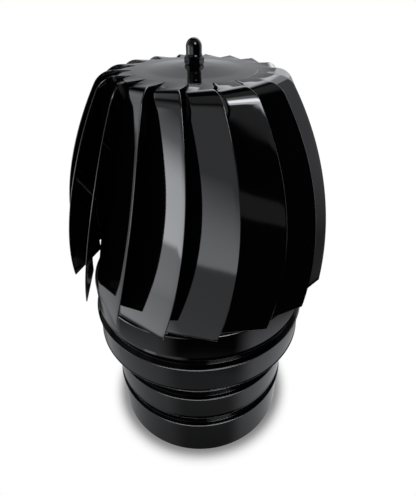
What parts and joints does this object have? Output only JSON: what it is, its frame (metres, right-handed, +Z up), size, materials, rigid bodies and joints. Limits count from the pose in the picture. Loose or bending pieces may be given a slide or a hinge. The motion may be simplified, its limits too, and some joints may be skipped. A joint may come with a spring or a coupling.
{
  "type": "roof turbine ventilator",
  "caption": "Wind-driven chimney cowl: a free-spinning rotor of overlapping twisted vanes on sealed bearings above a ribbed round flue neck.",
  "frame": {"origin": "centre of the neck's bottom rim, on the spin axis", "axes": "+Z up along the spin axis, +Y towards the first arm of the spider"},
  "size_m": [0.1928, 0.192, 0.3158],
  "materials": {
    "gloss_black": "high-gloss black powder coat on steel sheet",
    "black_nut": "gloss black domed nut",
    "zinc_steel": "zinc-plated steel",
    "spring_steel": "dark phosphated spring steel",
    "bearing_steel": "ground bearing steel",
    "cage_nylon": "natural nylon"
  },
  "bodies": {
    "neck": {"spigot_tube": "gloss_black", "neck_collar": "gloss_black", "bearing_spider": "zinc_steel", "ledge_bolts": "zinc_steel", "ledge_nuts": "zinc_steel", "post_bolts": "zinc_steel", "post_nuts": "zinc_steel", "ledge_rivets": "zinc_steel", "bearing_post": "zinc_steel", "post_flange": "zinc_steel", "upper_circlip": "spring_steel", "lower_circlip": "spring_steel", "upper_outer_ring": "bearing_steel", "lower_outer_ring": "bearing_steel", "upper_shields": "bearing_steel", "lower_shields": "bearing_steel"},
    "rotor": {"shaft": "zinc_steel", "upper_spacer": "zinc_steel", "inner_spacer": "zinc_steel", "lower_washer": "zinc_steel", "lock_nut": "zinc_steel", "hub_plate": "zinc_steel", "top_disc": "gloss_black", "cap_nut": "black_nut", "upper_inner_ring": "bearing_steel", "lower_inner_ring": "bearing_steel", "vane_01": "gloss_black", "vane_02": "gloss_black", "vane_03": "gloss_black", "vane_04": "gloss_black", "vane_05": "gloss_black", "vane_06": "gloss_black", "vane_07": "gloss_black", "vane_08": "gloss_black", "vane_09": "gloss_black", "vane_10": "gloss_black", "vane_11": "gloss_black", "vane_12": "gloss_black", "vane_13": "gloss_black", "vane_14": "gloss_black", "vane_15": "gloss_black", "vane_16": "gloss_black", "vane_17": "gloss_black", "vane_18": "gloss_black"},
    "upper_ball_set": {"upper_balls": "bearing_steel", "upper_cage": "cage_nylon"},
    "lower_ball_set": {"lower_balls": "bearing_steel", "lower_cage": "cage_nylon"}
  },
  "joints": [
    {"name": "rotor_spin", "type": "hinge", "parent": "neck", "child": "rotor", "pos_m": [0, 0, 0.25], "axis": [0, 0, 1], "continuous": true},
    {"name": "upper_cage_turn", "type": "hinge", "parent": "neck", "child": "upper_ball_set", "pos_m": [0, 0, 0.2513], "axis": [0, 0, 1], "continuous": true},
    {"name": "lower_cage_turn", "type": "hinge", "parent": "neck", "child": "lower_ball_set", "pos_m": [0, 0, 0.108], "axis": [0, 0, 1], "continuous": true}
  ],
  "couplings": [
    {"joint": "upper_cage_turn", "follows": "rotor_spin", "ratio": 0.3731},
    {"joint": "lower_cage_turn", "follows": "rotor_spin", "ratio": 0.3731}
  ]
}
